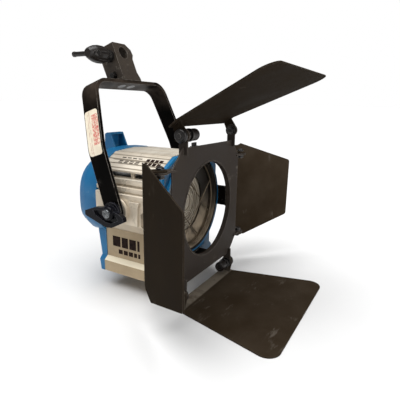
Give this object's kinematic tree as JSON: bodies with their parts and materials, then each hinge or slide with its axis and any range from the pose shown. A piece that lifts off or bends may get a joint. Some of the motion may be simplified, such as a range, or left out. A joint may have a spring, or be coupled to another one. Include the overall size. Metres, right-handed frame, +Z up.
{
  "type": "fresnel spotlight",
  "caption": "Small fresnel spotlight with hinged lens door, rotating barn doors, focusing lamp carriage and a tilting stirrup with a spigot socket.",
  "frame": {"origin": "centre of the stirrup's spigot bore", "axes": "+Z up, -Y the way the lens looks, +X to the right-hand pivot bolt; the stirrup leans back 18.3 degrees from +Z"},
  "size_m": [0.3511, 0.305, 0.3182],
  "materials": {
    "black_paint": "satin black paint, worn at the edges",
    "door_paint": "matt heat-resistant black, scuffed to brown-grey",
    "socket_metal": "dark bronze-grey paint",
    "silver_paint": "silver-grey paint on ribbed aluminium",
    "beige_paint": "warm silver-grey paint",
    "blue_paint": "mid blue paint on castings",
    "barrel_paint": "heat-browned black",
    "dark_steel": "blackened steel",
    "steel": "plain steel",
    "raw_aluminium": "mill finish sheet",
    "brass": "machined",
    "lever_plastic": "dark grey moulding",
    "knob_plastic": "black moulding",
    "black_plastic": "black nylon",
    "fibre": "fibre washer, standing in as a matt plastic",
    "ceramic": "glazed ceramic, standing in as a matt plastic",
    "label": null,
    "mirror": "polished aluminium reflector",
    "lens_glass": "moulded heat-resistant glass",
    "clear_glass": "quartz envelope"
  },
  "bodies": {
    "stirrup": {"yoke_bar": "black_paint", "clamp_block": "socket_metal", "clamp_bush": "dark_steel", "block_bolts": "dark_steel", "leg_label": "label", "pivot_washers": "fibre", "far_bolt": "dark_steel", "near_stud": "steel"},
    "clamp_screw": {"clamp_shank": "steel"},
    "clamp_handle": {"clamp_knob": "knob_plastic", "clamp_bar": "dark_steel"},
    "tilt_lock": {"lock_lever": "lever_plastic", "lever_cap": "dark_steel"},
    "lamp_head": {"housing": "silver_paint", "pivot_bosses": "silver_paint", "side_gussets": "silver_paint", "side_brackets": "silver_paint", "bracket_screws": "dark_steel", "base_box": "beige_paint", "base_front": "blue_paint", "base_rear": "blue_paint", "rear_cover": "blue_paint", "rear_hood": "blue_paint", "cover_screws": "steel", "liner": "raw_aluminium", "liner_feet": "raw_aluminium", "cable_gland": "black_plastic", "lead_bearing": "brass", "door_hinge_lugs": "blue_paint", "door_hinge_pin": "steel", "catch_base": "dark_steel"},
    "focus_drive": {"focus_spindle": "steel", "focus_knob": "knob_plastic"},
    "lamp_carriage": {"carriage": "raw_aluminium", "lampholder": "ceramic", "lamp_pins": "steel", "lamp_globe": "clear_glass", "reflector": "mirror"},
    "lens_door": {"front_casting": "blue_paint", "snout_barrel": "barrel_paint", "lens": "lens_glass", "lens_ring": "dark_steel", "wire_guard": "steel", "accessory_ears": "black_paint", "ear_rivets": "dark_steel", "door_latch_post": "blue_paint", "latch_pin": "steel"},
    "roof_catch": {"top_catch": "dark_steel"},
    "door_latch": {"accessory_latch": "black_paint"},
    "barn_doors": {"door_frame": "door_paint", "door_disc": "door_paint", "hinge_screws": "dark_steel", "hinge_collars": "dark_steel", "hinge_knobs": "knob_plastic"},
    "top_leaf": {"leaf_top": "door_paint"},
    "bottom_leaf": {"leaf_bottom": "door_paint"},
    "left_leaf": {"leaf_left": "door_paint"},
    "right_leaf": {"leaf_right": "door_paint"}
  },
  "joints": [
    {"name": "clamp_advance", "type": "slide", "parent": "stirrup", "child": "clamp_screw", "axis": [1, 0, 0], "range_m": [0, 0.0025]},
    {"name": "clamp_turn", "type": "hinge", "parent": "clamp_screw", "child": "clamp_handle", "pos_m": [-0.04, -0.00078, -0.00237], "axis": [1, 0, 0], "range_deg": [0, 600]},
    {"name": "lock_turn", "type": "hinge", "parent": "stirrup", "child": "tilt_lock", "pos_m": [-0.093, -0.06186, -0.18704], "axis": [1, 0, 0], "range_deg": [-25, 60]},
    {"name": "tilt", "type": "hinge", "parent": "stirrup", "child": "lamp_head", "pos_m": [0, -0.06186, -0.18704], "axis": [1, 0, 0], "range_deg": [-25, 110]},
    {"name": "focus_turn", "type": "hinge", "parent": "lamp_head", "child": "focus_drive", "pos_m": [0, -0.00386, -0.24204], "axis": [0, 1, 0], "range_deg": [-900, 720]},
    {"name": "focus_travel", "type": "slide", "parent": "lamp_head", "child": "lamp_carriage", "axis": [0, 1, 0], "range_m": [-0.02, 0.016]},
    {"name": "lens_door_swing", "type": "hinge", "parent": "lamp_head", "child": "lens_door", "pos_m": [0, -0.11736, -0.25354], "axis": [1, 0, 0], "range_deg": [0, 35]},
    {"name": "roof_catch_lift", "type": "hinge", "parent": "lamp_head", "child": "roof_catch", "pos_m": [0.028, -0.10586, -0.11764], "axis": [-1, 0, 0], "range_deg": [0, 28]},
    {"name": "door_latch_lift", "type": "hinge", "parent": "lens_door", "child": "door_latch", "pos_m": [0, -0.12586, -0.11754], "axis": [-1, 0, 0], "range_deg": [0, 60]},
    {"name": "doors_turn", "type": "hinge", "parent": "lens_door", "child": "barn_doors", "pos_m": [0, -0.13986, -0.19004], "axis": [0, 1, 0], "continuous": true},
    {"name": "top_leaf_swing", "type": "hinge", "parent": "barn_doors", "child": "top_leaf", "pos_m": [0, -0.14386, -0.09454], "axis": [-1, 0, 0], "range_deg": [-102, 65.5]},
    {"name": "bottom_leaf_swing", "type": "hinge", "parent": "barn_doors", "child": "bottom_leaf", "pos_m": [0, -0.14386, -0.28554], "axis": [1, 0, 0], "range_deg": [-62, 90]},
    {"name": "left_leaf_swing", "type": "hinge", "parent": "barn_doors", "child": "left_leaf", "pos_m": [-0.099, -0.14086, -0.19004], "axis": [0, 0, -1], "range_deg": [-117, 63]},
    {"name": "right_leaf_swing", "type": "hinge", "parent": "barn_doors", "child": "right_leaf", "pos_m": [0.099, -0.14086, -0.19004], "axis": [0, 0, 1], "range_deg": [-135, 45]}
  ],
  "couplings": [
    {"joint": "clamp_turn", "follows": "clamp_advance", "rad_per_m": 4188.8},
    {"joint": "focus_turn", "follows": "focus_travel", "rad_per_m": 785.4}
  ]
}
